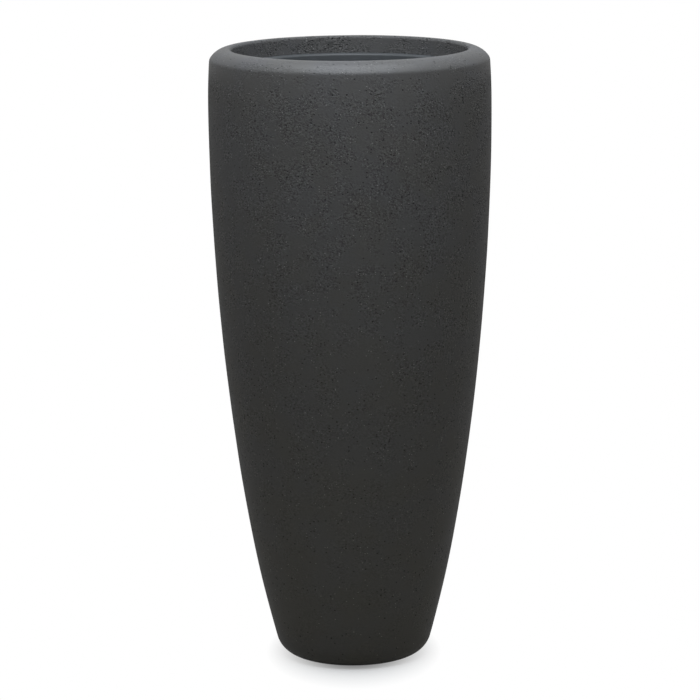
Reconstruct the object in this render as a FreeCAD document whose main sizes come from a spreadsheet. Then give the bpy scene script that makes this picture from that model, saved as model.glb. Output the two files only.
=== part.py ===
import FreeCAD, Part
import math
import os
import re

import Sketcher

# Tall round planter, in millimetres. +Z is up and the origin is the centre of the base, on the
# floor. Five pieces stand on one axis: the laminated outer shell, the seat ring bonded inside its
# mouth, the planting liner that hangs on that ring, and a rubber plug in each of the two drains.

SHEET = "Sizes"

# Driving dimensions: name, value, what it measures.
DRIVING = [
    ("overall_height", 800, "floor to crown"),
    ("belly_radius", 182.45, "largest radius of the wall"),
    ("belly_drop", 69, "crown to that largest radius, down"),
    ("brow_curve_radius", 785, "curve of the wall above the belly"),
    ("belly_curve_radius", 3320, "curve of the wall from the belly down"),
    ("foot_curve_radius", 1720, "curve of the wall near the foot"),
    ("wall_joint_height", 200, "height where the belly's curve meets the foot's"),
    ("base_corner_radius", 31.5, "outer rounding between wall and base"),
    ("shoulder_width", 23.6, "rim edge to crown, across"),
    ("shoulder_drop", 13.9, "crown to rim edge, down"),
    ("crease_radius", 9, "rounding of the rim edge"),
    ("crown_land", 1.2, "flat top of the crown"),
    ("lip_radius", 4, "rounding of the crown into the mouth"),
    ("laminate_thickness", 5, "wall, shoulder and collar"),
    ("base_thickness", 6, "floor of the shell"),
    ("collar_depth", 50, "crown to the lower edge of the turned-in collar"),
    ("stand_ring_width", 9, "flat ring inside the base corner"),
    ("stand_recess_height", 7, "rise of the base panel above the floor"),
    ("shell_drain_radius", 12.5, "hole in the base panel"),
    ("seat_bond_gap", 0.3, "glue between collar and seat ring"),
    ("seat_leg_thickness", 3.5, "upright leg of the seat ring"),
    ("seat_leg_depth", 20, "seat ring, top to bottom"),
    ("seat_shelf_thickness", 3.2, "level shelf of the seat ring"),
    ("seat_wall_gap", 2.5, "liner wall to the inner edge of the shelf"),
    ("seat_edge_radius", 1, "rounding of the seat ring"),
    ("liner_rim_drop", 22.7, "crown to the top of the liner rim"),
    ("liner_rim_thickness", 3, "level rim of the liner"),
    ("liner_rim_gap", 1, "edge of the liner rim to the collar"),
    ("liner_rim_width", 12.5, "rim edge to the inner face of the liner"),
    ("liner_roll_radius", 2.8, "rolled inner edge of the rim"),
    ("liner_wall", 2.5, "wall of the liner"),
    ("liner_depth", 277, "top of the rim to the liner floor"),
    ("liner_floor_radius", 119, "inner radius at the liner floor"),
    ("liner_floor_thickness", 3, "floor of the liner"),
    ("liner_corner_radius", 15, "inner rounding between wall and floor"),
    ("liner_edge_radius", 1, "small roundings of the liner"),
    ("sump_radius", 21, "well around the liner drain"),
    ("sump_depth", 5, "liner floor to the floor of the well"),
    ("rib_count", 6, "ribs under the liner floor"),
    ("rib_thickness", 2.6, "one rib"),
    ("liner_drain_radius", 10, "hole in the floor of the well"),
    ("plug_gap", 0.3, "plug to the side of its hole"),
    ("shell_plug_head_radius", 20, "head under the base panel"),
    ("shell_plug_head_thickness", 3, "head under the base panel"),
    ("shell_plug_reach", 5, "shank past the inside of the base"),
    ("shell_plug_bar_length", 26, "grip bar across the head"),
    ("shell_plug_bar_width", 6, "grip bar across the head"),
    ("shell_plug_bar_height", 2.4, "grip bar across the head"),
    ("liner_plug_head_radius", 16, "head in the well"),
    ("liner_plug_head_thickness", 3.4, "head in the well"),
    ("liner_plug_reach", 4, "shank past the underside of the well"),
    ("liner_plug_knob_radius", 5, "knob on the head"),
    ("liner_plug_neck_radius", 3.2, "neck under the knob"),
    ("liner_plug_knob_height", 9, "head to the top of the knob"),
    ("plug_tip_chamfer", 1.5, "lead-in at the end of a shank"),
    ("plug_edge_radius", 0.8, "rounding of the plug heads"),
]

# Sizes that follow from them: name, formula, what it measures.
DERIVED = [
    ("belly_height", "overall_height - belly_drop", "height of the largest radius"),
    ("rim_edge_height", "overall_height - shoulder_drop", "height of the rim edge"),
    (
        "rim_edge_radius",
        "belly_radius - brow_curve_radius"
        " + sqrt(brow_curve_radius^2 - (rim_edge_height - belly_height)^2)",
        "radius of the rim edge",
    ),
    ("crown_radius", "rim_edge_radius - shoulder_width", "outer edge of the crown's flat"),
    ("mouth_radius", "crown_radius - crown_land - lip_radius", "inner face of the collar"),
    (
        "shoulder_curve_radius",
        "(shoulder_width^2 + shoulder_drop^2) / (2 * shoulder_drop)",
        "curve of the shoulder, level at the crown",
    ),
    ("joint_sine", "(belly_height - wall_joint_height) / belly_curve_radius", "lean at the joint"),
    ("joint_cosine", "sqrt(1 - joint_sine^2)", "lean at the joint"),
    (
        "wall_joint_radius",
        "belly_radius - belly_curve_radius * (1 - joint_cosine)",
        "radius where the two curves meet",
    ),
    ("foot_centre_height", "wall_joint_height + foot_curve_radius * joint_sine", "lower curve"),
    ("foot_centre_radius", "wall_joint_radius - foot_curve_radius * joint_cosine", "lower curve"),
    (
        "foot_radius",
        "foot_centre_radius + sqrt(foot_curve_radius^2 - foot_centre_height^2)",
        "wall at the floor, before the corner is rounded",
    ),
    (
        "cavity_foot_radius",
        "foot_centre_radius + sqrt((foot_curve_radius - laminate_thickness)^2"
        " - (foot_centre_height - base_thickness)^2)",
        "inside of the wall at the inside of the base",
    ),
    (
        "stand_panel_radius",
        "foot_radius - base_corner_radius - stand_ring_width - stand_recess_height",
        "level panel of the base, underside",
    ),
    ("collar_edge_height", "overall_height - collar_depth", "lower edge of the collar"),
    ("seat_outer_radius", "mouth_radius - seat_bond_gap", "outside of the seat ring"),
    (
        "seat_height",
        "overall_height - liner_rim_drop - liner_rim_thickness",
        "top of the seat ring, where the liner rim rests",
    ),
    ("liner_rim_radius", "mouth_radius - liner_rim_gap", "outer edge of the liner rim"),
    ("liner_mouth_radius", "liner_rim_radius - liner_rim_width", "inner face of the liner, top"),
    ("seat_inner_radius", "liner_mouth_radius + liner_wall + seat_wall_gap", "edge of the shelf"),
    ("liner_floor_level", "liner_depth - liner_rim_thickness", "seat down to the liner floor"),
    ("liner_base_level", "liner_floor_level + liner_floor_thickness", "seat down to its underside"),
    ("sump_level", "liner_floor_level + sump_depth", "seat down to the floor of the well"),
    ("sump_base_level", "liner_base_level + sump_depth", "seat down to the lowest point"),
    ("rib_end_radius", "liner_floor_radius - liner_corner_radius", "outer end of a rib"),
]


def fill_sheet(doc):
    """Writes the driving and derived sizes into one sheet, a named cell each."""
    sheet = doc.addObject("Spreadsheet::Sheet", SHEET)
    rows = [(name, str(number), note) for name, number, note in DRIVING]
    rows += [(name, "=" + formula, note) for name, formula, note in DERIVED]
    for row, (name, content, note) in enumerate(rows, start=1):
        sheet.set(f"A{row}", name)
        sheet.set(f"B{row}", content)
        sheet.set(f"C{row}", note)
        sheet.setAlias(f"B{row}", name)
    doc.recompute()
    return sheet


def bound(formula):
    """The formula with each size's name pointing at the sheet."""
    names = {name for name, _, _ in DRIVING + DERIVED}
    return re.sub(r"\w+", lambda word: f"{SHEET}.{word[0]}" if word[0] in names else word[0], formula)


def amount(owner, formula):
    """The formula's present value as a number."""
    result = owner.evalExpression(bound(formula))
    return float(getattr(result, "Value", result))


def new_body(doc, label):
    """An empty body under the name of its piece."""
    body = doc.addObject("PartDesign::Body", label)
    body.Label = label
    return body


def new_sketch(body, name, role, height="0"):
    """A sketch on one of the body's own origin planes, raised to a height."""
    plane = next(item for item in body.Origin.OriginFeatures if item.Role == role)
    sketch = body.newObject("Sketcher::SketchObject", name)
    sketch.AttachmentSupport = [(plane, "")]
    sketch.MapMode = "FlatFace"
    if height != "0":
        sketch.setExpression("AttachmentOffset.Base.z", bound(height))
    return sketch


def bind(sketch, constraint, formula):
    """Adds a constraint whose value is the formula."""
    index = sketch.addConstraint(constraint)
    sketch.setExpression(f"Constraints[{index}]", bound(formula))


def pin_corner(sketch, line, across, up):
    """Fixes the start of a line or arc at two formulas, "0" lying on the sketch's own axis."""
    vertical_axis, horizontal_axis = -2, -1
    for kind, formula, axis in (("DistanceX", across, vertical_axis), ("DistanceY", up, horizontal_axis)):
        if formula == "0":
            sketch.addConstraint(Sketcher.Constraint("PointOnObject", line, 1, axis))
        else:
            place = amount(sketch, formula)
            bind(sketch, Sketcher.Constraint(kind, -1, 1, line, 1, place), formula)


def arc_between(start, end, radius):
    """An arc from start to end that turns left, with its centre on the left of the way."""
    half = (end - start) * 0.5
    left = FreeCAD.Vector(-half.y, half.x, 0).normalize()
    centre = start + half + left * math.sqrt(radius**2 - half.Length**2)
    first, last = (math.atan2(point.y - centre.y, point.x - centre.x) for point in (start, end))
    return Part.ArcOfCircle(Part.Circle(centre, FreeCAD.Vector(0, 0, 1), radius), first, last)


def closed_outline(sketch, corners):
    """Draws a closed outline, anticlockwise through corners of (across, up) or (across, up, curve).

    curve is the radius of the arc that leads on to the next corner; without it the way is straight.
    """
    places = [FreeCAD.Vector(*(amount(sketch, size) for size in corner[:2]), 0) for corner in corners]
    for index, corner in enumerate(corners):
        start, end = places[index], places[(index + 1) % len(places)]
        if len(corner) == 3:
            sketch.addGeometry(arc_between(start, end, amount(sketch, corner[2])), False)
        else:
            sketch.addGeometry(Part.LineSegment(start, end), False)
    for index, corner in enumerate(corners):
        following = (index + 1) % len(corners)
        sketch.addConstraint(Sketcher.Constraint("Coincident", index, 2, following, 1))
        pin_corner(sketch, index, *corner[:2])
        if len(corner) == 3:
            radius = Sketcher.Constraint("Radius", index, amount(sketch, corner[2]))
            bind(sketch, radius, corner[2])


def ring_outline(sketch, radius):
    """Draws a circle round the sketch's origin."""
    circle = Part.Circle(FreeCAD.Vector(), FreeCAD.Vector(0, 0, 1), amount(sketch, radius))
    sketch.addGeometry(circle, False)
    sketch.addConstraint(Sketcher.Constraint("Coincident", 0, 3, -1, 1))
    bind(sketch, Sketcher.Constraint("Radius", 0, circle.Radius), radius)


def revolve(body, name, corners, kind="PartDesign::Revolution"):
    """Turns a closed outline, drawn as radius and height, round the body's axis."""
    sketch = new_sketch(body, name + "_outline", "XZ_Plane")
    closed_outline(sketch, corners)
    feature = body.newObject(kind, name)
    feature.Profile = sketch
    feature.ReferenceAxis = (sketch, ["V_Axis"])
    feature.Angle = 360
    return finished(feature)


def drill(body, name, radius, height, depth, upward):
    """Cuts a round hole of the given depth from a level plane, up or down."""
    sketch = new_sketch(body, name + "_circle", "XY_Plane", height)
    ring_outline(sketch, radius)
    feature = body.newObject("PartDesign::Pocket", name)
    feature.Profile = sketch
    feature.Type = "Length"
    feature.Reversed = upward
    feature.setExpression("Length", bound(depth))
    before = feature.BaseFeature.Shape.Volume
    finished(feature)
    if not feature.Shape.Volume < before:
        raise RuntimeError(f"{name} cuts nothing")
    return feature


def raise_pad(body, name, corners, height, length):
    """Pads a closed outline, drawn from above, up from a level plane."""
    sketch = new_sketch(body, name + "_outline", "XY_Plane", height)
    closed_outline(sketch, corners)
    feature = body.newObject("PartDesign::Pad", name)
    feature.Profile = sketch
    feature.setExpression("Length", bound(length))
    return finished(feature)


def ring_edges(feature, rings):
    """Names of the feature's round edges that lie at the given (radius, height) pairs."""
    names = []
    for radius, height in rings:
        wanted = amount(feature, radius), amount(feature, height)
        found = [
            f"Edge{number}"
            for number, edge in enumerate(feature.Shape.Edges, start=1)
            if isinstance(edge.Curve, Part.Circle)
            and math.dist((edge.Curve.Radius, edge.Curve.Center.z), wanted) < 0.01
        ]
        if not found:
            raise RuntimeError(f"{feature.Name} has no round edge at {radius}, {height}")
        names += found
    return names


def ease(body, name, rings, size, kind="PartDesign::Fillet"):
    """Rounds or chamfers the round edges at the given (radius, height) pairs."""
    base = body.Tip
    feature = body.newObject(kind, name)
    feature.Base = (base, ring_edges(base, rings))
    feature.setExpression("Radius" if kind.endswith("Fillet") else "Size", bound(size))
    return finished(feature)


def finished(feature):
    """The feature once it has been worked out, or a stop if it has failed."""
    feature.Document.recompute()
    if feature.Shape.isNull() or not feature.isValid():
        raise RuntimeError(f"{feature.Name} failed: {feature.State}")
    return feature


def outer_shell(doc):
    """The laminated vessel: wall, shoulder, crown and turned-in collar, on a recessed base."""
    body = new_body(doc, "outer_shell")
    revolve(body, "vessel", [
        ("0", "stand_recess_height"),
        ("stand_panel_radius", "stand_recess_height"),
        ("stand_panel_radius + stand_recess_height", "0"),
        ("foot_radius", "0", "foot_curve_radius"),
        ("wall_joint_radius", "wall_joint_height", "belly_curve_radius"),
        ("belly_radius", "belly_height", "brow_curve_radius"),
        ("rim_edge_radius", "rim_edge_height", "shoulder_curve_radius"),
        ("crown_radius", "overall_height"),
        ("0", "overall_height"),
    ])
    # The inner faces follow the outer ones at the laminate's thickness. The offset faces of wall
    # and shoulder meet a third of that thickness below the rim edge, and those of the base panel
    # and its slope meet half a thickness further out.
    inner_panel = "stand_panel_radius + base_thickness / 2"
    revolve(body, "cavity", [
        ("0", "stand_recess_height + base_thickness"),
        (inner_panel, "stand_recess_height + base_thickness"),
        (inner_panel + " + stand_recess_height", "base_thickness"),
        ("cavity_foot_radius", "base_thickness", "foot_curve_radius - laminate_thickness"),
        (
            "wall_joint_radius - laminate_thickness * joint_cosine",
            "wall_joint_height + laminate_thickness * joint_sine",
            "belly_curve_radius - laminate_thickness",
        ),
        (
            "belly_radius - laminate_thickness",
            "belly_height",
            "brow_curve_radius - laminate_thickness",
        ),
        (
            "rim_edge_radius - laminate_thickness",
            "rim_edge_height - laminate_thickness / 3",
            "shoulder_curve_radius - laminate_thickness",
        ),
        ("crown_radius", "overall_height - laminate_thickness"),
        ("mouth_radius + laminate_thickness", "overall_height - laminate_thickness"),
        ("mouth_radius + laminate_thickness", "collar_edge_height"),
        ("0", "collar_edge_height"),
    ], "PartDesign::Groove")
    drill(body, "mouth", "mouth_radius", "overall_height", "collar_depth + laminate_thickness", False)
    ease(body, "cavity_corner", [("cavity_foot_radius", "base_thickness")],
         "base_corner_radius - laminate_thickness")
    ease(body, "base_corner", [("foot_radius", "0")], "base_corner_radius")
    ease(body, "rim_crease", [("rim_edge_radius", "rim_edge_height")], "crease_radius")
    ease(body, "mouth_lip", [("mouth_radius", "overall_height")], "lip_radius")
    drill(body, "drain", "shell_drain_radius", "0", "2 * stand_recess_height + base_thickness", True)
    return body


def seat_ring(doc):
    """The angle ring bonded inside the collar; its own zero height is the top of its shelf."""
    body = new_body(doc, "liner_seat_ring")
    leg_radius = "seat_outer_radius - seat_leg_thickness"
    revolve(body, "seat_angle", [
        (leg_radius, "-seat_leg_depth"),
        ("seat_outer_radius", "-seat_leg_depth"),
        ("seat_outer_radius", "0"),
        ("seat_inner_radius", "0"),
        ("seat_inner_radius", "-seat_shelf_thickness"),
        (leg_radius, "-seat_shelf_thickness"),
    ])
    ease(body, "seat_edges", [
        ("seat_inner_radius", "0"),
        ("seat_inner_radius", "-seat_shelf_thickness"),
        (leg_radius, "-seat_shelf_thickness"),
        (leg_radius, "-seat_leg_depth"),
    ], "seat_edge_radius")
    body.setExpression("Placement.Base.z", bound("seat_height"))
    return body


def planting_liner(doc):
    """The lift-out liner; its own zero height is the underside of its rim, on the seat ring."""
    body = new_body(doc, "planting_liner")
    outer_floor = "liner_floor_radius + liner_wall"
    outer_sump = "sump_radius + liner_wall"
    outer_mouth = "liner_mouth_radius + liner_wall"
    revolve(body, "liner_pot", [
        ("0", "-sump_base_level"),
        (outer_sump, "-sump_base_level"),
        (outer_sump, "-liner_base_level"),
        (outer_floor, "-liner_base_level"),
        (outer_mouth, "0"),
        ("liner_rim_radius", "0"),
        ("liner_rim_radius", "liner_rim_thickness"),
        ("liner_mouth_radius", "liner_rim_thickness"),
        ("liner_floor_radius", "-liner_floor_level"),
        ("sump_radius", "-liner_floor_level"),
        ("sump_radius", "-sump_level"),
        ("0", "-sump_level"),
    ])
    ease(body, "liner_corner", [("liner_floor_radius", "-liner_floor_level")], "liner_corner_radius")
    ease(body, "liner_outer_corner", [(outer_floor, "-liner_base_level")],
         "liner_corner_radius + liner_wall")
    ease(body, "liner_roll", [("liner_mouth_radius", "liner_rim_thickness")], "liner_roll_radius")
    ease(body, "liner_edges", [
        ("liner_rim_radius", "0"),
        ("liner_rim_radius", "liner_rim_thickness"),
        (outer_mouth, "0"),
        ("sump_radius", "-liner_floor_level"),
        ("sump_radius", "-sump_level"),
        (outer_sump, "-sump_base_level"),
    ], "liner_edge_radius")
    rib = raise_pad(body, "floor_rib", [
        ("sump_radius + liner_wall / 2", "-rib_thickness / 2"),
        ("rib_end_radius", "-rib_thickness / 2"),
        ("rib_end_radius", "rib_thickness / 2"),
        ("sump_radius + liner_wall / 2", "rib_thickness / 2"),
    ], "-sump_base_level", "sump_depth + liner_floor_thickness / 2")
    ribs = body.newObject("PartDesign::PolarPattern", "floor_ribs")
    ribs.Originals = [rib]
    ribs.Axis = (rib.Profile[0], ["N_Axis"])
    ribs.Angle = 360
    ribs.setExpression("Occurrences", bound("rib_count"))
    body.Tip = ribs
    finished(ribs)
    drill(body, "liner_drain", "liner_drain_radius", "-sump_level",
          "2 * liner_floor_thickness", False)
    body.setExpression("Placement.Base.z", bound("seat_height"))
    return body


def shell_plug(doc):
    """The rubber plug pushed into the base from below; its zero height is the panel's underside."""
    body = new_body(doc, "shell_drain_plug")
    shank = "shell_drain_radius - plug_gap"
    tip = "base_thickness + shell_plug_reach"
    revolve(body, "shell_plug_blank", [
        ("0", "-shell_plug_head_thickness"),
        ("shell_plug_head_radius", "-shell_plug_head_thickness"),
        ("shell_plug_head_radius", "0"),
        (shank, "0"),
        (shank, tip),
        ("0", tip),
    ])
    ease(body, "shell_plug_tip", [(shank, tip)], "plug_tip_chamfer", "PartDesign::Chamfer")
    ease(body, "shell_plug_rounding", [
        ("shell_plug_head_radius", "-shell_plug_head_thickness"),
        ("shell_plug_head_radius", "0"),
    ], "plug_edge_radius")
    raise_pad(body, "shell_plug_bar", [
        ("-shell_plug_bar_length / 2", "-shell_plug_bar_width / 2"),
        ("shell_plug_bar_length / 2", "-shell_plug_bar_width / 2"),
        ("shell_plug_bar_length / 2", "shell_plug_bar_width / 2"),
        ("-shell_plug_bar_length / 2", "shell_plug_bar_width / 2"),
    ], "-shell_plug_head_thickness - shell_plug_bar_height",
        "shell_plug_bar_height + shell_plug_head_thickness / 2")
    body.setExpression("Placement.Base.z", bound("stand_recess_height"))
    return body


def liner_plug(doc):
    """The rubber plug pushed into the well from above; its zero height is the well's floor."""
    body = new_body(doc, "liner_drain_plug")
    shank = "liner_drain_radius - plug_gap"
    tip = "-liner_floor_thickness - liner_plug_reach"
    knob_top = "liner_plug_head_thickness + liner_plug_knob_height"
    knob_base = "liner_plug_head_thickness + liner_plug_knob_height / 2"
    revolve(body, "liner_plug_blank", [
        ("0", tip),
        (shank, tip),
        (shank, "0"),
        ("liner_plug_head_radius", "0"),
        ("liner_plug_head_radius", "liner_plug_head_thickness"),
        ("liner_plug_neck_radius", "liner_plug_head_thickness"),
        ("liner_plug_neck_radius", knob_base),
        ("liner_plug_knob_radius", knob_base),
        ("liner_plug_knob_radius", knob_top),
        ("0", knob_top),
    ])
    ease(body, "liner_plug_tip", [(shank, tip)], "plug_tip_chamfer", "PartDesign::Chamfer")
    ease(body, "liner_plug_rounding", [
        ("liner_plug_head_radius", "0"),
        ("liner_plug_head_radius", "liner_plug_head_thickness"),
        ("liner_plug_knob_radius", knob_base),
        ("liner_plug_knob_radius", knob_top),
    ], "plug_edge_radius")
    body.setExpression("Placement.Base.z", bound("seat_height - sump_level"))
    return body


def export(doc, bodies):
    """Writes each piece to its own file, once nothing in the document has failed."""
    doc.recompute()
    for item in doc.Objects:
        if "Invalid" in item.State or "Error" in item.State:
            raise RuntimeError(f"{item.Name} is {item.State}")
    os.makedirs("parts", exist_ok=True)
    for body in bodies:
        shape = body.Shape
        if shape.isNull() or not shape.isValid():
            raise RuntimeError(f"{body.Label} has no valid solid")
        shape.exportStep(f"parts/{body.Label}.step")
        box = shape.BoundBox
        print(f"{body.Label}: {len(shape.Solids)} solid, {shape.Volume / 1000:.1f} cm3,"
              f" z {box.ZMin:.2f} to {box.ZMax:.2f}, width {box.XLength:.2f}")


def main():
    """Builds the planter."""
    doc = FreeCAD.newDocument("planter")
    fill_sheet(doc)
    makers = (outer_shell, seat_ring, planting_liner, shell_plug, liner_plug)
    export(doc, [make(doc) for make in makers])


main()
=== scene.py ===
"""Dresses the tall round planter: its stone-like coat, its liner and the plugs of its two drains.

Every piece is turned about the planter's axis at a finer grain than the construction solids, with
the same sizes, and stands for the solid of its own name. Lengths are in metres.
"""

import logging
import math
from dataclasses import dataclass
from enum import Enum
from typing import Any

import bmesh
import bpy
from mathutils import Matrix, Vector, noise

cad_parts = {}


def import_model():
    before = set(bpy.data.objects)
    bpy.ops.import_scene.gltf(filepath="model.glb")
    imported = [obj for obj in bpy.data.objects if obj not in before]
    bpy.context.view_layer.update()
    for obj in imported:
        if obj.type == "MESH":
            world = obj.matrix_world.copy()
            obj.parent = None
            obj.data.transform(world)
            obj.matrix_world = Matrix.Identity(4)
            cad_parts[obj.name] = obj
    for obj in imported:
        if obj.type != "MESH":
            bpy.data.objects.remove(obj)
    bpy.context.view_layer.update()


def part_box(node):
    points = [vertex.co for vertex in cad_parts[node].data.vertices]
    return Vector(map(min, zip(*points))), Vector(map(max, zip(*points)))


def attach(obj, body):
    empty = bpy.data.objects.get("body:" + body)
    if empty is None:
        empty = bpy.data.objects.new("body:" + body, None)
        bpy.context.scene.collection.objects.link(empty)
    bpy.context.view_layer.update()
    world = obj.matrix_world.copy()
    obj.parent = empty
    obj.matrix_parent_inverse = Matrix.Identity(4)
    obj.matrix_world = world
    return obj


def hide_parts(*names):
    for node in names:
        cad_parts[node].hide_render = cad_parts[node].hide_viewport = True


LOG = logging.getLogger("planter")
MM = 0.001
FULL_TURN = 2 * math.pi

Triple = tuple[float, float, float]
Colour = tuple[float, float, float]
Spot = tuple[float, float]
Span = tuple[float, float]
UNIT: Span = (0.0, 1.0)
WHITE = (1.0, 1.0, 1.0, 1.0)


class Slot(Enum):
    """Names of the planter's material slots."""

    STONE_LAMINATE = "stone_laminate"
    BARE_LAMINATE = "bare_laminate"
    LINER_PLASTIC = "liner_plastic"
    PLUG_RUBBER = "plug_rubber"


class Body(Enum):
    """Bodies that come apart: the shell, what hangs in it and what plugs it."""

    SHELL = "shell"
    LINER = "liner"
    SHELL_PLUG = "shell_plug"
    LINER_PLUG = "liner_plug"


class Skin(Enum):
    """Places of a piece's finishes among its materials."""

    OUTSIDE = 0
    INSIDE = 1


# ---------------------------------------------------------------- materials


class Wire:
    """A socket that takes part in written sums; each sum adds its Math node."""

    def __init__(self, graph: "Graph", socket: bpy.types.NodeSocket) -> None:
        """Wraps an output socket of a graph."""
        self.graph = graph
        self.socket = socket

    def __add__(self, other: "Wire | float") -> "Wire":
        """The sum."""
        return self.graph.maths("ADD", self, other)

    def __radd__(self, other: float) -> "Wire":
        """The sum with a number on the left."""
        return self.graph.maths("ADD", other, self)

    def __sub__(self, other: "Wire | float") -> "Wire":
        """The difference."""
        return self.graph.maths("SUBTRACT", self, other)

    def __rsub__(self, other: float) -> "Wire":
        """The difference with a number on the left."""
        return self.graph.maths("SUBTRACT", other, self)

    def __mul__(self, other: "Wire | float") -> "Wire":
        """The product."""
        return self.graph.maths("MULTIPLY", self, other)


@dataclass(frozen=True)
class Grain:
    """A soft noise.

    Attributes:
        size: Width of its lumps, in metres.
        detail: Number of finer octaves on top.
        rough: Strength of those octaves.
    """

    size: float
    detail: float = 2.0
    rough: float = 0.5


class Graph:
    """The node tree of one material or of the world."""

    def __init__(self, tree: bpy.types.NodeTree) -> None:
        """Empties a tree, to fill it anew."""
        self.tree = tree
        tree.nodes.clear()

    def node(self, kind: str, settings: dict[str, Any], inputs: dict[Any, Any]) -> bpy.types.Node:
        """Adds a node.

        Args:
            kind: The node's type.
            settings: Its own settings, set first.
            inputs: Values or wires of its sockets, by identifier, name or number.

        Returns:
            The node.
        """
        node = self.tree.nodes.new(kind)
        for name, value in settings.items():
            setattr(node, name, value)
        for key, value in inputs.items():
            socket = self._socket(node.inputs, key)
            if isinstance(value, Wire):
                self.tree.links.new(value.socket, socket)
            else:
                socket.default_value = value
        return node

    def add(
        self,
        kind: str,
        output: str | int,
        settings: dict[str, Any] | None = None,
        inputs: dict[Any, Any] | None = None,
    ) -> Wire:
        """Adds a node, as the node method does, and gives one of its outputs as a wire."""
        node = self.node(kind, settings or {}, inputs or {})
        return Wire(self, self._socket(node.outputs, output))

    def maths(self, operation: str, first: Wire | float, second: Wire | float) -> Wire:
        """The result of a Math node with two inputs."""
        return self.add("ShaderNodeMath", 0, {"operation": operation}, {0: first, 1: second})

    def step(self, value: Wire, span: Span, result: Span = UNIT) -> Wire:
        """A soft step between two results, over a span of values that may run downwards."""
        return self._range("SMOOTHSTEP", value, span, result)

    def slope(self, value: Wire, span: Span, result: Span = UNIT) -> Wire:
        """A straight slope between two results over a span of values, level on either side."""
        return self._range("LINEAR", value, span, result)

    def blend(self, amount: Wire | float, first: Wire | Colour, second: Wire | Colour) -> Wire:
        """Mixes two colours.

        Args:
            amount: 0 for the first and 1 for the second.
            first: A colour or a wire that carries one.
            second: The other.

        Returns:
            The mixed colour.
        """
        sides = [side if isinstance(side, Wire) else (*side, 1.0) for side in (first, second)]
        return self.add(
            "ShaderNodeMix",
            "Result_Color",
            {"data_type": "RGBA"},
            {"Factor_Float": amount, "A_Color": sides[0], "B_Color": sides[1]},
        )

    def shade(self, colour: Wire, amount: Wire) -> Wire:
        """Multiplies a colour by a grey amount."""
        grey = self.add("ShaderNodeCombineXYZ", 0, {}, {0: amount, 1: amount, 2: amount})
        return self.add("ShaderNodeVectorMath", 0, {"operation": "MULTIPLY"}, {0: colour, 1: grey})

    def place(self, scale: Triple = (1, 1, 1), turn: Triple = (0, 0, 0)) -> Wire:
        """Places on the piece, in metres, turned and stretched for a pattern."""
        spot = self.add("ShaderNodeTexCoord", "Object")
        return self.add("ShaderNodeMapping", 0, {}, {"Vector": spot, "Rotation": turn, "Scale": scale})

    def length(self, vector: Wire) -> Wire:
        """The length of a vector."""
        return self.add("ShaderNodeVectorMath", "Value", {"operation": "LENGTH"}, {0: vector})

    def height(self, where: Wire) -> Wire:
        """How high a place is."""
        return self.add("ShaderNodeSeparateXYZ", "Z", {}, {0: where})

    def grain(self, where: Wire, pattern: Grain) -> Wire:
        """Soft noise about 0.5.

        Args:
            where: Places on the piece.
            pattern: Size and strength of the noise.

        Returns:
            The noise, mostly from 0.25 to 0.75.
        """
        return self.add(
            "ShaderNodeTexNoise",
            0,
            {"normalize": True},
            {
                "Vector": where,
                "Scale": 1 / pattern.size,
                "Detail": pattern.detail,
                "Roughness": pattern.rough,
            },
        )

    def swell(self, where: Wire, pattern: Grain) -> Wire:
        """The same noise about 0."""
        return self.grain(where, pattern) - 0.5

    def _range(self, kind: str, value: Wire, span: Span, result: Span) -> Wire:
        """Maps a span of values to a span of results.

        Args:
            kind: The interpolation between its ends.
            value: What is mapped.
            span: The values at its ends.
            result: The results there.

        Returns:
            The result, which stays at its end past either end.
        """
        ends = {"From Min": span[0], "From Max": span[1], "To Min": result[0], "To Max": result[1]}
        settings = {"interpolation_type": kind}
        return self.add("ShaderNodeMapRange", "Result", settings, {"Value": value, **ends})

    @staticmethod
    def _socket(sockets: Any, key: str | int) -> bpy.types.NodeSocket:
        """Finds a socket.

        Args:
            sockets: A node's inputs or its outputs.
            key: Number, identifier or name of the socket.

        Returns:
            The socket.
        """
        if isinstance(key, int):
            return sockets[key]
        return next((socket for socket in sockets if socket.identifier == key), None) or sockets[key]


def blank_material(name: str) -> tuple[bpy.types.Material, Graph]:
    """Makes a material with an empty graph.

    Args:
        name: The material's name.

    Returns:
        The material and its graph.
    """
    material = bpy.data.materials.new(name)
    material.use_nodes = True
    return material, Graph(material.node_tree)


@dataclass(frozen=True)
class Finish:
    """A finish: a named material whose nodes its paint method adds."""

    name: str

    def paint(self, graph: Graph) -> dict[str, Any]:
        """Adds the finish's own nodes and gives what goes into the surface shader."""
        raise NotImplementedError

    def material(self) -> bpy.types.Material:
        """Makes the finish's material.

        Returns:
            The material.
        """
        material, graph = blank_material(self.name)
        surface = graph.add("ShaderNodeBsdfPrincipled", "BSDF", {}, self.paint(graph))
        graph.node("ShaderNodeOutputMaterial", {}, {"Surface": surface})
        return material

    @staticmethod
    def relief(graph: Graph, height: Wire) -> Wire:
        """The normal of a surface that stands out by a height in millimetres."""
        return graph.add("ShaderNodeBump", 0, {}, {"Strength": 1.0, "Distance": MM, "Height": height})


@dataclass(frozen=True)
class Spots:
    """Round spots of one kind, one to a cell at most.

    Attributes:
        spacing: Distance between cells, in metres.
        reach: Radius of the widest spot, as a part of the spacing.
        share: Part of the cells that hold a spot where the coat is busy.
        tone: How much a spot changes the colour.
        relief: How deep or how high it is, in millimetres.
        core: Radius of its flat middle, as a part of its reach.
    """

    spacing: float
    reach: float
    share: float
    tone: float
    relief: float
    core: float = 0.45


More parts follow.
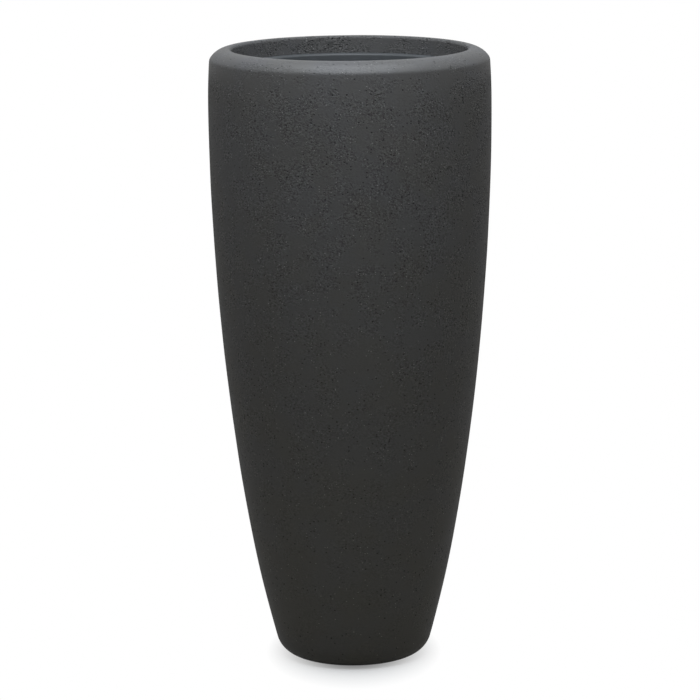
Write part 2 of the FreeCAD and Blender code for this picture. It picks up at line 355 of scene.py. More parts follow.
@dataclass(frozen=True)
class StoneCoat(Finish):
    """Matte charcoal coat with the fine pits and grit of cast stone, sealed on the rim."""

    name: str = "stone_coat"
    cool: Colour = (0.0556, 0.0553, 0.0572)
    warm: Colour = (0.0553, 0.0544, 0.0540)
    cloud: Grain = Grain(60 * MM, 3)
    cloud_span: Span = (0.35, 0.65)
    patch: Grain = Grain(26 * MM, 3, 0.6)
    patch_span: Span = (0.38, 0.6)
    patch_busy: Span = (0.15, 1.0)
    rise: Span = (20 * MM, 660 * MM)
    rise_busy: Span = (0.28, 1.1)
    stretch: float = 1.3
    fine: Grain = Grain(2.8 * MM, 2, 0.65)
    fine_span: Span = (0.3, 0.7)
    fine_swing: Span = (-0.5, 0.5)
    fine_tone: float = 0.62
    fine_relief: float = 0.6
    fine_gloss: float = 0.15
    lump: Grain = Grain(9 * MM, 3, 0.55)
    lump_least: float = 0.3
    lump_relief: float = 0.4
    # Pits and pinholes are dents whose colour is also darkened: painted shade in their hollows.
    pits: Spots = Spots(spacing=5 * MM, reach=0.31, share=0.66, tone=0.52, relief=0.8)
    pinholes: Spots = Spots(spacing=2.5 * MM, reach=0.31, share=0.6, tone=0.34, relief=0.4)
    specks: Spots = Spots(spacing=3 * MM, reach=0.248, share=0.28, tone=0.62, relief=0.2)
    grit: Colour = (0.240, 0.238, 0.236)
    pit_roughness: float = 0.2
    darkest: float = 0.1
    rim_rise: Span = (755 * MM, 787 * MM)
    mouth: Span = (153 * MM, 157 * MM)
    rim_calm: float = 0.55
    # Painted shade: the rim's colour is darkened to hold down the light that falls on it.
    rim_painted_shade: float = -0.15
    rim_seal: float = 0.22
    seal_roughness: float = 0.42
    roughness: float = 0.73
    specular: float = 0.055

    def paint(self, graph: Graph) -> dict[str, Any]:
        """Adds clouds of tone, fine grain, grit, and pits with painted shade in them, fewest on the rim
        and towards the foot.

        Args:
            graph: The graph to add to.

        Returns:
            What goes into the surface shader, by socket.
        """
        even = graph.place()
        level = graph.place((1, 1, self.stretch))
        rim = self._rim(graph, even)
        busy = self._business(graph, even) * (1.0 - rim * self.rim_calm)
        cloud = graph.step(graph.grain(even, self.cloud), self.cloud_span)
        fine = graph.step(graph.grain(level, self.fine), self.fine_span, self.fine_swing) * busy
        lump = graph.swell(level, self.lump) * (busy + self.lump_least)
        pits = self._scattered(graph, level, self.pits, busy)
        pinholes = self._scattered(graph, level, self.pinholes, busy)
        specks = self._scattered(graph, level, self.specks, busy)

        tone = graph.blend(cloud, self.cool, self.warm)
        tone = graph.blend(specks * self.specks.tone, tone, self.grit)
        # The darkening by pits and pinholes is painted shade in their hollows, on top of their dents.
        shade = fine * self.fine_tone + 1.0 - pits * self.pits.tone - pinholes * self.pinholes.tone
        # The rim's colour is darkened here: painted shade on the rim.
        shade = graph.maths("MAXIMUM", shade, self.darkest) * (1.0 + rim * self.rim_painted_shade)
        height = fine * self.fine_relief + lump * self.lump_relief - pits * self.pits.relief
        height = height - pinholes * self.pinholes.relief + specks * self.specks.relief
        return {
            "Base Color": graph.shade(tone, shade),
            "Roughness": self.roughness - fine * self.fine_gloss + pits * self.pit_roughness,
            "Specular IOR Level": self.specular,
            "Coat Weight": rim * self.rim_seal,
            "Coat Roughness": self.seal_roughness,
            "Normal": self.relief(graph, height),
        }

    def _rim(self, graph: Graph, where: Wire) -> Wire:
        """Marks the rounded rim.

        Args:
            graph: The graph to add to.
            where: Places on the piece.

        Returns:
            1 on the rim, fading out down the wall, and 0 in the mouth.
        """
        outwards = graph.length(graph.place((1, 1, 0)))
        up = graph.height(where)
        return graph.step(up, self.rim_rise) * graph.step(outwards, self.mouth)

    def _business(self, graph: Graph, where: Wire) -> Wire:
        """Tells how busy the coat is: in patches, and more so higher up the wall.

        Args:
            graph: The graph to add to.
            where: Places on the piece.

        Returns:
            From near 0 where it is calm to about 1 where it is busy.
        """
        up = graph.height(where)
        patch = graph.step(graph.grain(where, self.patch), self.patch_span, self.patch_busy)
        return patch * graph.slope(up, self.rise, self.rise_busy)

    @staticmethod
    def _scattered(graph: Graph, where: Wire, spots: Spots, busy: Wire) -> Wire:
        """Scatters spots over the coat.

        Args:
            graph: The graph to add to.
            where: Places on the piece.
            spots: The kind of spot.
            busy: How busy the coat is.

        Returns:
            1 in a spot and 0 around it.
        """
        cells = {"Vector": where, "Scale": 1 / spots.spacing}
        distance = graph.add("ShaderNodeTexVoronoi", "Distance", {}, cells)
        label = graph.add("ShaderNodeTexVoronoi", "Color", {}, cells)
        chance = graph.add("ShaderNodeSeparateColor", 0, {}, {0: label})
        inside = graph.step(distance, (spots.reach, spots.reach * spots.core))
        return inside * graph.maths("LESS_THAN", chance, busy * spots.share)


@dataclass(frozen=True)
class RawLaminate(Finish):
    """Bare inside of the laminate: glass strands under dark resin."""

    name: str = "raw_laminate"
    resin: Colour = (0.070, 0.074, 0.074)
    glass: Colour = (0.160, 0.165, 0.160)
    strand: Grain = Grain(1.0, 1)
    strand_width: float = 1.1 * MM
    strand_length: float = 34 * MM
    strand_span: Span = (0.58, 0.66)
    strand_weight: float = 0.5
    strand_tone: float = 0.55
    strand_relief: float = 0.12
    turns: tuple[float, ...] = (0.0, 0.7, 1.5, 2.3)
    lean: float = 0.6
    ripple: Grain = Grain(12 * MM, 3)
    ripple_relief: float = 0.8
    ripple_roughness: float = 0.3
    roughness: float = 0.5

    def paint(self, graph: Graph) -> dict[str, Any]:
        """Adds strands that cross at several angles, and the resin's ripples.

        Args:
            graph: The graph to add to.

        Returns:
            What goes into the surface shader, by socket.
        """
        strands: Wire | float = 0.0
        stretch = (1 / self.strand_length, 1 / self.strand_width, 1 / self.strand_width)
        for turn in self.turns:
            where = graph.place(stretch, (turn, turn * self.lean, turn))
            strand = graph.step(graph.grain(where, self.strand), self.strand_span)
            strands = strands + strand * self.strand_weight
        ripple = graph.swell(graph.place(), self.ripple)
        return {
            "Base Color": graph.blend(strands * self.strand_tone, self.resin, self.glass),
            "Roughness": self.roughness + ripple * self.ripple_roughness,
            "Normal": self.relief(graph, strands * self.strand_relief + ripple * self.ripple_relief),
        }


@dataclass(frozen=True)
class MouldedPlastic(Finish):
    """Smooth moulded plastic of the liner, with faint flow rings and handling marks."""

    name: str = "moulded_plastic"
    colour: Colour = (0.032, 0.0345, 0.037)
    worn: Colour = (0.044, 0.047, 0.050)
    flow: Grain = Grain(7 * MM, 2)
    flow_stretch: Triple = (0.12, 0.12, 1.0)
    flow_relief: float = 0.14
    skin: Grain = Grain(1 * MM, 1)
    skin_relief: float = 0.02
    skin_roughness: float = 0.1
    scuff: Grain = Grain(26 * MM, 4, 0.65)
    scuff_span: Span = (0.5, 0.72)
    scuff_tone: float = 0.5
    scuff_roughness: float = 0.16
    roughness: float = 0.46
    specular: float = 0.15

    def paint(self, graph: Graph) -> dict[str, Any]:
        """Adds flow rings, a fine skin and scuffs.

        Args:
            graph: The graph to add to.

        Returns:
            What goes into the surface shader, by socket.
        """
        even = graph.place()
        flow = graph.swell(graph.place(self.flow_stretch), self.flow)
        skin = graph.swell(even, self.skin)
        scuffs = graph.step(graph.grain(even, self.scuff), self.scuff_span)
        return {
            "Base Color": graph.blend(scuffs * self.scuff_tone, self.colour, self.worn),
            "Roughness": self.roughness + scuffs * self.scuff_roughness + skin * self.skin_roughness,
            "Specular IOR Level": self.specular,
            "Normal": self.relief(graph, flow * self.flow_relief + skin * self.skin_relief),
        }


@dataclass(frozen=True)
class PlugRubber(Finish):
    """Black moulded rubber with a dry bloom."""

    name: str = "black_rubber"
    colour: Colour = (0.017, 0.017, 0.017)
    dry: Colour = (0.050, 0.050, 0.048)
    bloom: Grain = Grain(6 * MM, 4, 0.6)
    bloom_span: Span = (0.45, 0.75)
    bloom_tone: float = 0.6
    bloom_roughness: float = 0.15
    skin: Grain = Grain(0.5 * MM, 1)
    skin_relief: float = 0.05
    roughness: float = 0.72
    specular: float = 0.25

    def paint(self, graph: Graph) -> dict[str, Any]:
        """Adds the bloom and a fine skin.

        Args:
            graph: The graph to add to.

        Returns:
            What goes into the surface shader, by socket.
        """
        even = graph.place()
        bloom = graph.step(graph.grain(even, self.bloom), self.bloom_span)
        return {
            "Base Color": graph.blend(bloom * self.bloom_tone, self.colour, self.dry),
            "Roughness": self.roughness + bloom * self.bloom_roughness,
            "Specular IOR Level": self.specular,
            "Normal": self.relief(graph, graph.swell(even, self.skin) * self.skin_relief),
        }


# ---------------------------------------------------------------- shapes


@dataclass(frozen=True)
class Bow:
    """A circle of the half section: its centre, across and up, and its radius."""

    across: float
    up: float
    radius: float

    @property
    def centre(self) -> Vector:
        """Its centre."""
        return Vector((self.across, self.up))

    def inset(self, depth: float) -> "Bow":
        """The circle round the same centre that lies deeper by a depth."""
        return Bow(self.across, self.up, self.radius - depth)

    def at_height(self, up: float) -> Vector:
        """The point on its outer side at a height."""
        return Vector((self.across + math.sqrt(self.radius**2 - (up - self.up) ** 2), up))

    def towards(self, place: Vector) -> Vector:
        """The point on it that lies towards a place."""
        return self.centre + (place - self.centre).normalized() * self.radius

    def meet(self, other: "Bow") -> Vector:
        """Finds where it crosses another circle.

        Args:
            other: The other circle.

        Returns:
            The higher one of the two points.
        """
        way = other.centre - self.centre
        along = (way.length_squared + self.radius**2 - other.radius**2) / (2 * way.length)
        side = math.sqrt(self.radius**2 - along**2)
        ahead = way.normalized()
        points = [self.centre + ahead * along + ahead.orthogonal() * side * sign for sign in (-1, 1)]
        return max(points, key=lambda point: point.y)

    def nest(self, other: "Bow", radius: float) -> "Bow":
        """The circle of a radius that lies inside both circles and touches them."""
        return Bow(*self.inset(radius).meet(other.inset(radius)), radius)


class Outline:
    """A half section in the XZ plane, drawn point by point and then turned about the axis."""

    stride = 7.5 * MM
    arc_stride = math.radians(6)
    weld = 0.001 * MM

    def __init__(self, start: Spot, skin: Skin = Skin.OUTSIDE) -> None:
        """Starts the outline.

        Args:
            start: Its first point, across from the axis and up.
            skin: Finish of the stretches that follow.
        """
        self.mesh = bmesh.new()
        self.skins = self.mesh.verts.layers.int.new("skin")
        self.skin = skin
        self.first = self.mesh.verts.new((start[0], 0, start[1]))
        self.first[self.skins] = skin.value
        self.last = self.first

    @property
    def here(self) -> Vector:
        """The point that the outline has reached."""
        return Vector((self.last.co.x, self.last.co.z))

    def line(self, end: Spot | Vector) -> None:
        """Goes straight on.

        Args:
            end: The point to reach.
        """
        way = Vector(end) - self.here
        steps = max(1, round(way.length / self.stride))
        for _ in range(steps):
            grown = bmesh.ops.extrude_vert_indiv(self.mesh, verts=[self.last])["verts"]
            bmesh.ops.translate(self.mesh, verts=grown, vec=(way.x / steps, 0, way.y / steps))
            self._advance(grown)

    def arc(self, bow: Bow, end: Spot | Vector) -> None:
        """Goes on round a circle, the short way.

        Args:
            bow: The circle, which passes through the point reached so far.
            end: The point on it to reach.
        """
        start, finish = self.here - bow.centre, Vector(end) - bow.centre
        angle = -start.angle_signed(finish)
        steps = max(2, round(abs(angle) * bow.radius / self.stride), round(abs(angle) / self.arc_stride))
        for _ in range(steps):
            grown = bmesh.ops.spin(
                self.mesh,
                geom=[self.last],
                cent=(bow.across, 0, bow.up),
                axis=(0, -1, 0),
                angle=angle / steps,
                steps=1,
            )["geom_last"]
            self._advance([part for part in grown if isinstance(part, bmesh.types.BMVert)])

    def corners(self, *corners: Triple) -> None:
        """Goes straight from corner to corner.

        Args:
            corners: Each corner's place and rounding; the last one ends the stretch, unrounded.
        """
        for (across, up, radius), beyond in zip(corners, corners[1:]):
            corner = Vector((across, up))
            back = (self.here - corner).normalized()
            onward = (Vector(beyond[:2]) - corner).normalized()
            half = back.angle(onward) / 2
            if radius:
                reach = radius / math.tan(half)
                centre = corner + (back + onward).normalized() * (radius / math.sin(half))
                self.line(corner + back * reach)
                self.arc(Bow(*centre, radius), corner + onward * reach)
            else:
                self.line(corner)
        self.line(corners[-1][:2])

    def turned(self, segments: int, closed: bool = True) -> bmesh.types.BMesh:
        """Turns the outline about the axis into a solid's surface.

        Args:
            segments: Number of faces round the axis.
            closed: Whether its last point joins its first; if not, both are on the axis.

        Returns:
            The closed surface, with its faces pointing outwards.
        """
        if closed:
            self.mesh.edges.new((self.last, self.first))
        bmesh.ops.spin(
            self.mesh,
            geom=self.mesh.verts[:] + self.mesh.edges[:],
            cent=(0, 0, 0),
            axis=(0, 0, 1),
            angle=FULL_TURN,
            steps=segments,
            use_merge=True,
        )
        bmesh.ops.remove_doubles(self.mesh, verts=self.mesh.verts, dist=self.weld)
        bmesh.ops.recalc_face_normals(self.mesh, faces=self.mesh.faces)
        for face in self.mesh.faces:
            face.material_index = min(vert[self.skins] for vert in face.verts)
        self.mesh.verts.layers.int.remove(self.skins)
        return self.mesh

    def _advance(self, grown: list[bmesh.types.BMVert]) -> None:
        """Moves on to the newest point."""
        self.last = grown[0]
        self.last[self.skins] = self.skin.value


def block(low: Vector, high: Vector, rounding: float, facets: int = 3) -> bmesh.types.BMesh:
    """Makes an upright block with rounded edges.

    Args:
        low: Its lowest corner.
        high: Its highest corner.
        rounding: Radius of its edges.
        facets: Number of faces across each edge.

    Returns:
        The block's surface.
    """
    mesh = bmesh.new()
    place = Matrix.Translation((low + high) / 2) @ Matrix.Diagonal((*(high - low), 1))
    bmesh.ops.create_cube(mesh, size=1, matrix=place)
    bmesh.ops.bevel(
        mesh,
        geom=mesh.edges[:],
        offset=rounding,
        segments=facets,
        profile=0.5,
        affect="EDGES",
        material=-1,
        clamp_overlap=True,
    )
    return mesh


def as_mesh(surface: bmesh.types.BMesh, name: str) -> bpy.types.Mesh:
    """Turns a surface into a mesh.

    Args:
        surface: The surface; it is used up.
        name: The mesh's name.

    Returns:
        The mesh.
    """
    mesh = bpy.data.meshes.new(name)
    surface.to_mesh(mesh)
    surface.free()
    return mesh


def as_object(data: bpy.types.ID, name: str) -> bpy.types.Object:
    """Adds an object to the scene.

    Args:
        data: Its mesh, lamp or camera.
        name: The object's name.

    Returns:
        The object, at the origin.
    """
    placed = bpy.data.objects.new(name, data)
    bpy.context.scene.collection.objects.link(placed)
    return placed


def fused(first: bmesh.types.BMesh, second: bmesh.types.BMesh) -> bmesh.types.BMesh:
    """Joins two closed surfaces that overlap into one.

    Args:
        first: A surface; it is used up.
        second: The other one; it is used up too.

    Returns:
        The joined surface.
    """
    helpers = [as_object(as_mesh(surface, "helper"), "helper") for surface in (first, second)]
    union = helpers[0].modifiers.new("union", "BOOLEAN")
    union.operation = "UNION"
    union.solver = "EXACT"
    union.object = helpers[1]
    joined = bmesh.new()
    joined.from_object(helpers[0], bpy.context.evaluated_depsgraph_get())
    for helper in helpers:
        bpy.data.objects.remove(helper)
    return joined


class Piece:
    """A piece of the planter that stands for the construction solid of the same name."""

    node: str
    body: Body
    slot: Slot
    finishes: tuple[type[Finish], ...]
    crease_angle = math.radians(35)

    def surface(self) -> bmesh.types.BMesh:
        """Gives the piece's closed surface."""
        raise NotImplementedError

    def build(self, shelf: dict[type[Finish], bpy.types.Material]) -> bpy.types.Object:
        """Builds and dresses the piece and puts it in its solid's place.

        Args:
            shelf: Materials that are ready, by their finish; what is missing is added.

        Returns:
            The piece's object.
        """
        surface = self.surface()
        for face in surface.faces:
            face.smooth = True
        mesh = as_mesh(surface, self.node + "_surface")
        mesh.set_sharp_from_angle(angle=self.crease_angle)
        for finish in self.finishes:
            if finish not in shelf:
                shelf[finish] = finish().material()
            mesh.materials.append(shelf[finish])
        piece = as_object(mesh, self.node + "_finish")
        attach(piece, self.body.value)
        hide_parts(self.node)
        LOG.info("%s: %d faces, on body %s", piece.name, len(mesh.polygons), self.body.value)
        return piece


@dataclass
class OuterShell(Piece):
    """The laminated vessel: wall, shoulder, crown and turned-in collar, on a recessed base."""

    height: float
    belly_radius: float
    belly_drop: float = 69 * MM
    brow_curve: float = 785 * MM
    belly_curve: float = 3320 * MM
    foot_curve: float = 1720 * MM
    joint_height: float = 200 * MM
    base_corner: float = 31.5 * MM
    shoulder_width: float = 23.6 * MM
    shoulder_drop: float = 13.9 * MM
    crease: float = 9 * MM
    crown_land: float = 1.2 * MM
    lip: float = 4 * MM
    wall: float = 5 * MM
    base_wall: float = 6 * MM
    collar_depth: float = 50 * MM
    stand_width: float = 9 * MM
    recess: float = 7 * MM
    drain_radius: float = 12.5 * MM
    edge: float = 0.8 * MM
    segments: int = 192
    hand_depth: float = 0.3 * MM
    hand_size: float = 70 * MM
    node = "outer_shell"
    body = Body.SHELL
    slot = Slot.STONE_LAMINATE
    finishes = (StoneCoat, RawLaminate)

    def __post_init__(self) -> None:
        """Works out the circles of the section from its sizes."""
        belly_height = self.height - self.belly_drop
        self.brow = Bow(self.belly_radius - self.brow_curve, belly_height, self.brow_curve)
        self.belly = Bow(self.belly_radius - self.belly_curve, belly_height, self.belly_curve)
        self.joint = self.belly.at_height(self.joint_height)
        inward = (self.belly.centre - self.joint).normalized()
        self.foot = Bow(*(self.joint + inward * self.foot_curve), self.foot_curve)
        rim_edge = self.brow.at_height(self.height - self.shoulder_drop)
        curve = (self.shoulder_width**2 + self.shoulder_drop**2) / (2 * self.shoulder_drop)
        self.crown_radius = rim_edge.x - self.shoulder_width
        self.shoulder = Bow(self.crown_radius, self.height - curve, curve)
        self.mouth_radius = self.crown_radius - self.crown_land - self.lip
        floor_edge = self.foot.at_height(0).x
        self.panel_radius = floor_edge - self.base_corner - self.stand_width - self.recess

    def surface(self) -> bmesh.types.BMesh:
        """Draws the section: under the base, up the outside, over the crown and down the inside.

        Returns:
            The shell's closed surface.
        """
        outline = Outline((self.drain_radius, self.recess), Skin.INSIDE)
        self._underside(outline)
        self._outside(outline)
        self._collar(outline)
        self._inside(outline)
        return self._worked(outline.turned(self.segments))

    def _underside(self, outline: Outline) -> None:
        """Goes out under the recessed panel and down to the flat ring that it stands on.

        Args:
            outline: The outline to go on with.
        """
        outline.line((self.panel_radius, self.recess))
        outline.skin = Skin.OUTSIDE
        outline.line((self.panel_radius + self.recess, 0))

    def _outside(self, outline: Outline) -> None:
        """Goes round the base corner, up the wall and over the shoulder to the crown.

        Args:
            outline: The outline to go on with.
        """
        corner = self._corner(self.foot, self.base_corner, 0)
        crease = self.brow.nest(self.shoulder, self.crease)
        outline.line((corner.across, 0))
        outline.arc(corner, self.foot.towards(corner.centre))
        outline.arc(self.foot, self.joint)
        outline.arc(self.belly, (self.belly_radius, self.belly.up))
        outline.arc(self.brow, self.brow.towards(crease.centre))
        outline.arc(crease, self.shoulder.towards(crease.centre))
        outline.arc(self.shoulder, (self.crown_radius, self.height))

    def _collar(self, outline: Outline) -> None:
        """Goes over the crown, down the collar's face and back up behind it.

        Args:
            outline: The outline to go on with.
        """
        foot = self.height - self.collar_depth
        ceiling = self.height - self.wall
        behind = self.mouth_radius + self.wall
        outline.corners(
            (self.mouth_radius, self.height, self.lip),
            (self.mouth_radius, foot, self.edge),
            (self.mouth_radius + self.wall / 2, foot, 0),
        )
        outline.skin = Skin.INSIDE
        outline.corners(
            (behind, foot, self.edge),
            (behind, ceiling, self.edge),
            (self.crown_radius, ceiling, 0),
        )

    def _inside(self, outline: Outline) -> None:
        """Goes down the inside of the wall and across the base to the drain.

        Args:
            outline: The outline to go on with.
        """
        shoulder, brow, belly, foot = (
            bow.inset(self.wall) for bow in (self.shoulder, self.brow, self.belly, self.foot)
        )
        corner = self._corner(foot, self.base_corner - self.wall, self.base_wall)
        outline.arc(shoulder, shoulder.meet(brow))
        outline.arc(brow, (self.belly_radius - self.wall, belly.up))
        outline.arc(belly, belly.towards(self.joint))
        outline.arc(foot, foot.towards(corner.centre))
        outline.arc(corner, (corner.across, self.base_wall))
        panel = self.panel_radius + self.base_wall / 2
        outline.line((panel + self.recess, self.base_wall))
        outline.line((panel, self.base_wall + self.recess))
        outline.line((self.drain_radius, self.base_wall + self.recess))

    @staticmethod
    def _corner(wall: Bow, radius: float, level: float) -> Bow:
        """The circle of a radius that rounds the corner between a wall and a level floor."""
        return Bow(*wall.inset(radius).at_height(level + radius), radius)

    def _worked(self, surface: bmesh.types.BMesh) -> bmesh.types.BMesh:
        """Presses the surface in here and there, as hand work leaves it, clear of the base.

        Args:
            surface: The evenly turned surface.

        Returns:
            The same surface, with its dents.
        """
        surface.normal_update()
        for vert in surface.verts:
            weight = min(1.0, vert.co.z / (self.base_corner + self.recess))
            swell = min(1.0, max(0.0, 0.5 + noise.noise(vert.co / self.hand_size)))
            vert.co -= vert.normal * (self.hand_depth * weight * swell)
        return surface


@dataclass
class SeatRing(Piece):
    """The angle ring bonded inside the collar, which the liner's rim rests on."""

    outer_radius: float
    inner_radius: float
    top: float
    foot: float
    leg: float = 3.5 * MM
    shelf: float = 3.2 * MM
    edge: float = 1 * MM
    bonded_edge: float = 0.25 * MM
    segments: int = 160
    node = "liner_seat_ring"
    body = Body.SHELL
    slot = Slot.BARE_LAMINATE
    finishes = (RawLaminate,)

    def surface(self) -> bmesh.types.BMesh:
        """Draws the ring's angle section.

        Returns:
            The ring's closed surface.
        """
        leg = self.outer_radius - self.leg
        under = self.top - self.shelf
        outline = Outline((self.outer_radius - self.leg / 2, self.foot))
        outline.corners(
            (self.outer_radius, self.foot, self.bonded_edge),
            (self.outer_radius, self.top, self.bonded_edge),
            (self.inner_radius, self.top, self.edge),
            (self.inner_radius, under, self.edge),
            (leg, under, self.edge),
            (leg, self.foot, self.edge),
            (self.outer_radius - self.leg / 2, self.foot, 0),
        )
        return outline.turned(self.segments)


@dataclass
class PlantingLiner(Piece):
    """The lift-out liner, which hangs by its level rim."""

    rim_radius: float
    rim_top: float
    rim: float = 3 * MM
    rim_width: float = 12.5 * MM
    roll: float = 2.8 * MM
    wall: float = 2.5 * MM
    seat_play: float = 2.5 * MM
    depth: float = 277 * MM
    floor_radius: float = 119 * MM
    floor: float = 3 * MM
    corner: float = 15 * MM
    edge: float = 1 * MM
    well_radius: float = 21 * MM
    well_depth: float = 5 * MM
    drain_radius: float = 10 * MM
    ribs: int = 6
    rib_width: float = 2.6 * MM
    rib_edge: float = 0.4 * MM
    segments: int = 192
    node = "planting_liner"
    body = Body.LINER
    slot = Slot.LINER_PLASTIC
    finishes = (MouldedPlastic,)

    def surface(self) -> bmesh.types.BMesh:
        """Draws the pot's section and sets the ribs under its floor."""
        return fused(self._pot(), self._rib_star())

    def _pot(self) -> bmesh.types.BMesh:
        """Draws the pot: out under the well and floor, up the wall, over the rim and back down.

        Returns:
            The pot's closed surface.
        """
        mouth = self.rim_radius - self.rim_width
        seat = self.rim_top - self.rim
        level = self.rim_top - self.depth
        base = level - self.floor
        outline = Outline((self.drain_radius, base - self.well_depth))
        outline.corners(
            (self.well_radius + self.wall, base - self.well_depth, self.edge),
            (self.well_radius + self.wall, base, 0),
            (self.floor_radius + self.wall, base, self.corner + self.wall),
            (mouth + self.wall, seat, self.edge),
            (self.rim_radius, seat, self.edge),
            (self.rim_radius, self.rim_top, self.edge),
            (mouth, self.rim_top, self.roll),
            (self.floor_radius, level, self.corner),
            (self.well_radius, level, self.edge),
            (self.well_radius, level - self.well_depth, self.edge),
            (self.drain_radius, level - self.well_depth, 0),
        )
        return outline.turned(self.segments)

    def _rib_star(self) -> bmesh.types.BMesh:
        """Sets the ribs side by side round the well.

        Returns:
            The ribs' surfaces, each one closed.
        """
        level = self.rim_top - self.depth
        foot = level - self.floor - self.well_depth
        low = Vector((self.well_radius + self.wall / 2, -self.rib_width / 2, foot))
        high = Vector((self.floor_radius - self.corner, self.rib_width / 2, level - self.floor / 2))
        star = block(low, high, self.rib_edge)
        bmesh.ops.spin(
            star,
            geom=star.verts[:] + star.edges[:] + star.faces[:],
            cent=(0, 0, 0),
            axis=(0, 0, 1),
            angle=FULL_TURN * (self.ribs - 1) / self.ribs,
            steps=self.ribs - 1,
            use_duplicate=True,
        )
        return star


@dataclass
class ShellPlug(Piece):
    """The rubber plug pushed into the base from below, with a bar to pull it by."""

    foot: float
    top: float
    head_radius: float
    bar_height: float = 2.4 * MM
    bar_length: float = 26 * MM
    bar_width: float = 6 * MM
    bar_edge: float = 0.9 * MM
    head: float = 3 * MM
    shank_radius: float = 12.2 * MM
    tip: float = 1.5 * MM
    edge: float = 0.8 * MM
    segments: int = 96
    node = "shell_drain_plug"
    body = Body.SHELL_PLUG
    slot = Slot.PLUG_RUBBER
    finishes = (PlugRubber,)

    def surface(self) -> bmesh.types.BMesh:
        """Draws the head and shank, and sets the bar across the head.

        Returns:
            The plug's closed surface.
        """
        under = self.foot + self.bar_height
        outline = Outline((0, under))
        outline.corners(
            (self.head_radius, under, self.edge),
            (self.head_radius, under + self.head, self.edge),
            (self.shank_radius, under + self.head, 0),
            (self.shank_radius, self.top - self.tip, 0),
            (self.shank_radius - self.tip, self.top, 0),
            (0, self.top, 0),
        )
        low = Vector((-self.bar_length / 2, -self.bar_width / 2, self.foot))
        high = Vector((self.bar_length / 2, self.bar_width / 2, under + self.head / 2))
        return fused(outline.turned(self.segments, closed=False), block(low, high, self.bar_edge))


@dataclass
class LinerPlug(Piece):
    """The rubber plug pushed into the liner's well from above, with a knob to pull it by."""

    foot: float
    top: float
    head_radius: float
    shank: float = 7 * MM
    shank_radius: float = 9.7 * MM
    head: float = 3.4 * MM
    knob_radius: float = 5 * MM
    knob_height: float = 4.5 * MM
    neck_radius: float = 3.2 * MM
    tip: float = 1.5 * MM
    edge: float = 0.8 * MM
    segments: int = 96
    node = "liner_drain_plug"
    body = Body.LINER_PLUG
    slot = Slot.PLUG_RUBBER
    finishes = (PlugRubber,)

    def surface(self) -> bmesh.types.BMesh:
        """Draws shank, head, neck and knob.

        Returns:
            The plug's closed surface.
        """
        seat = self.foot + self.shank
        head_top = seat + self.head
        knob_base = self.top - self.knob_height
        outline = Outline((0, self.foot))
        outline.corners(
            (self.shank_radius - self.tip, self.foot, 0),
            (self.shank_radius, self.foot + self.tip, 0),
            (self.shank_radius, seat, 0),
            (self.head_radius, seat, self.edge),
            (self.head_radius, head_top, self.edge),
            (self.neck_radius, head_top, self.edge),
            (self.neck_radius, knob_base, 0),
            (self.knob_radius, knob_base, self.edge),
            (self.knob_radius, self.top, self.edge),
            (0, self.top, 0),
        )
        return outline.turned(self.segments, closed=False)


# ---------------------------------------------------------------- studio


@dataclass(frozen=True)
class Lamp:
    """A square soft lamp, not seen by the camera."""

    name: str
    place: Triple
    aim: Triple
    width: float
    glow: float
    colour: Colour = (0.91, 0.96, 1.0)

    def build(self) -> None:
        """Hangs the lamp; its glow is the brightness of its face."""
        data = bpy.data.lights.new(self.name, "AREA")
        data.shape = "SQUARE"
        data.size = self.width
        data.color = self.colour
        data.energy = self.glow * math.pi * self.width**2
        lamp = as_object(data, self.name)
        lamp.location = self.place
        way = Vector(self.aim) - Vector(self.place)
        lamp.rotation_euler = way.to_track_quat("-Z", "Y").to_euler()
        lamp.visible_camera = False


OVERHEAD = Lamp("studio_overhead", place=(0, -0.4, 1.8), aim=(0, -0.25, 0.7), width=1.1, glow=11.7)
FRONT = Lamp("studio_front", place=(-0.1, -0.75, 1.3), aim=(0, -0.15, 0.75), width=0.4, glow=2.8)


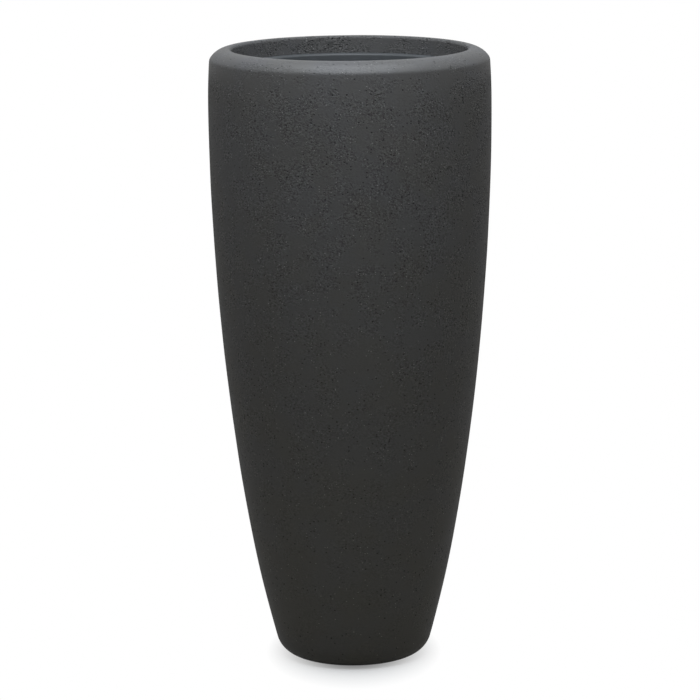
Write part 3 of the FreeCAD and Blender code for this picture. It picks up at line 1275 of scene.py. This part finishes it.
@dataclass(frozen=True)
class Studio:
    """A white studio with soft light from above, and the camera that looks down on the planter."""

    lamps: tuple[Lamp, ...] = (OVERHEAD, FRONT)
    room_front: float = 0.10
    room_back: float = 0.48
    room_lean: float = 0.06
    room_turn: Span = (-0.6, 0.2)
    floor_seen: Colour = (0.55, 0.55, 0.55)
    floor_glow: Colour = (0.465, 0.44, 0.36)
    floor_radius: float = 30.0
    floor_sides: int = 128
    floor_gap: float = 0.2 * MM
    shadow: Span = (0.045, 0.185)
    shadow_squeeze: float = 1.6
    camera_place: Triple = (0.0, -4.5, 1.2756)
    dip: float = math.radians(10.9523)
    swing: float = math.radians(0.0286)
    tilt: float = math.radians(-0.427)
    focal_length: float = 180.75
    sensor_width: float = 36.0

    def build(self) -> None:
        """Sets floor, room, lamps and camera."""
        scene = bpy.context.scene
        scene.view_settings.view_transform = "Standard"
        self._floor()
        self._room()
        for lamp in self.lamps:
            lamp.build()
        self._camera()

    def _floor(self) -> None:
        """A round floor just under the base: it keeps the shadow and turns white around it."""
        surface = bmesh.new()
        bmesh.ops.create_circle(
            surface,
            cap_ends=True,
            radius=self.floor_radius,
            segments=self.floor_sides,
            matrix=Matrix.Translation((0, 0, -self.floor_gap)),
        )
        material, graph = blank_material("studio_floor")
        seen = graph.add("ShaderNodeLightPath", "Is Camera Ray")
        colour = graph.blend(seen, self.floor_glow, self.floor_seen)
        paint = graph.add("ShaderNodeBsdfDiffuse", 0, {}, {"Color": colour})
        white = graph.add("ShaderNodeEmission", 0, {}, {"Color": WHITE, "Strength": 1.0})
        distance = graph.length(graph.place((self.shadow_squeeze, 1, 1)))
        amount = self._seen(graph) * graph.slope(distance, self.shadow)
        shown = graph.add("ShaderNodeMixShader", 0, {}, {0: amount, 1: paint, 2: white})
        graph.node("ShaderNodeOutputMaterial", {}, {"Surface": shown})
        floor = as_object(as_mesh(surface, "studio_floor"), "studio_floor")
        floor.data.materials.append(material)

    def _room(self) -> None:
        """Light from all round, least from the front and right, seen as white by the camera."""
        world = bpy.data.worlds.new("studio_room")
        world.use_nodes = True
        graph = Graph(world.node_tree)
        way = graph.node("ShaderNodeSeparateXYZ", {}, {0: graph.add("ShaderNodeTexCoord", "Generated")})
        right, back = Wire(graph, way.outputs["X"]), Wire(graph, way.outputs["Y"])
        turned = graph.step(back - right * self.room_lean, self.room_turn)
        dim, bright, white = (
            graph.add("ShaderNodeBackground", 0, {}, {"Color": WHITE, "Strength": strength})
            for strength in (self.room_front, self.room_back, 1.0)
        )
        light = graph.add("ShaderNodeMixShader", 0, {}, {0: turned, 1: dim, 2: bright})
        shown = graph.add("ShaderNodeMixShader", 0, {}, {0: self._seen(graph), 1: light, 2: white})
        graph.node("ShaderNodeOutputWorld", {}, {"Surface": shown})
        bpy.context.scene.world = world

    @staticmethod
    def _seen(graph: Graph) -> Wire:
        """Tells what the camera sees from what lights the planter.

        Args:
            graph: The graph to add to.

        Returns:
            1 for what is seen straight on, in gloss or through a clear piece, and 0 for the rest.
        """
        path = graph.node("ShaderNodeLightPath", {}, {})
        names = ("Is Camera Ray", "Is Glossy Ray", "Is Transmission Ray")
        camera, glossy, through = (Wire(graph, path.outputs[name]) for name in names)
        return graph.maths("MINIMUM", camera + glossy + through, 1.0)

    def _camera(self) -> None:
        """A long lens in front of the planter, a little above its crown and looking down."""
        data = bpy.data.cameras.new("studio_camera")
        data.lens = self.focal_length
        data.sensor_width = self.sensor_width
        camera = as_object(data, "studio_camera")
        aim = Matrix.Rotation(self.swing, 4, "Z") @ Matrix.Rotation(math.pi / 2 - self.dip, 4, "X")
        roll = Matrix.Rotation(self.tilt, 4, "Z")
        camera.matrix_world = Matrix.Translation(self.camera_place) @ aim @ roll
        bpy.context.scene.camera = camera


def planter() -> list[Piece]:
    """Lays out the planter's pieces from the construction solids' boxes.

    Returns:
        The pieces, from the outside in.
    """
    _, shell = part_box("outer_shell")
    ring_low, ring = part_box("liner_seat_ring")
    _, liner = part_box("planting_liner")
    shell_plug_low, shell_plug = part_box("shell_drain_plug")
    liner_plug_low, liner_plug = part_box("liner_drain_plug")
    pot = PlantingLiner(rim_radius=liner.x, rim_top=liner.z)
    seat_edge = pot.rim_radius - pot.rim_width + pot.wall + pot.seat_play
    return [
        OuterShell(height=shell.z, belly_radius=shell.x),
        SeatRing(outer_radius=ring.x, inner_radius=seat_edge, top=ring.z, foot=ring_low.z),
        pot,
        ShellPlug(foot=shell_plug_low.z, top=shell_plug.z, head_radius=shell_plug.x),
        LinerPlug(foot=liner_plug_low.z, top=liner_plug.z, head_radius=liner_plug.x),
    ]


def main() -> None:
    """Builds the planter on its frame and the studio round it."""
    logging.basicConfig(level=logging.INFO, format="%(message)s")
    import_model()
    shelf: dict[type[Finish], bpy.types.Material] = {}
    for piece in planter():
        piece.build(shelf)
    Studio().build()
    bpy.context.view_layer.update()


if __name__ == "__main__":
    main()
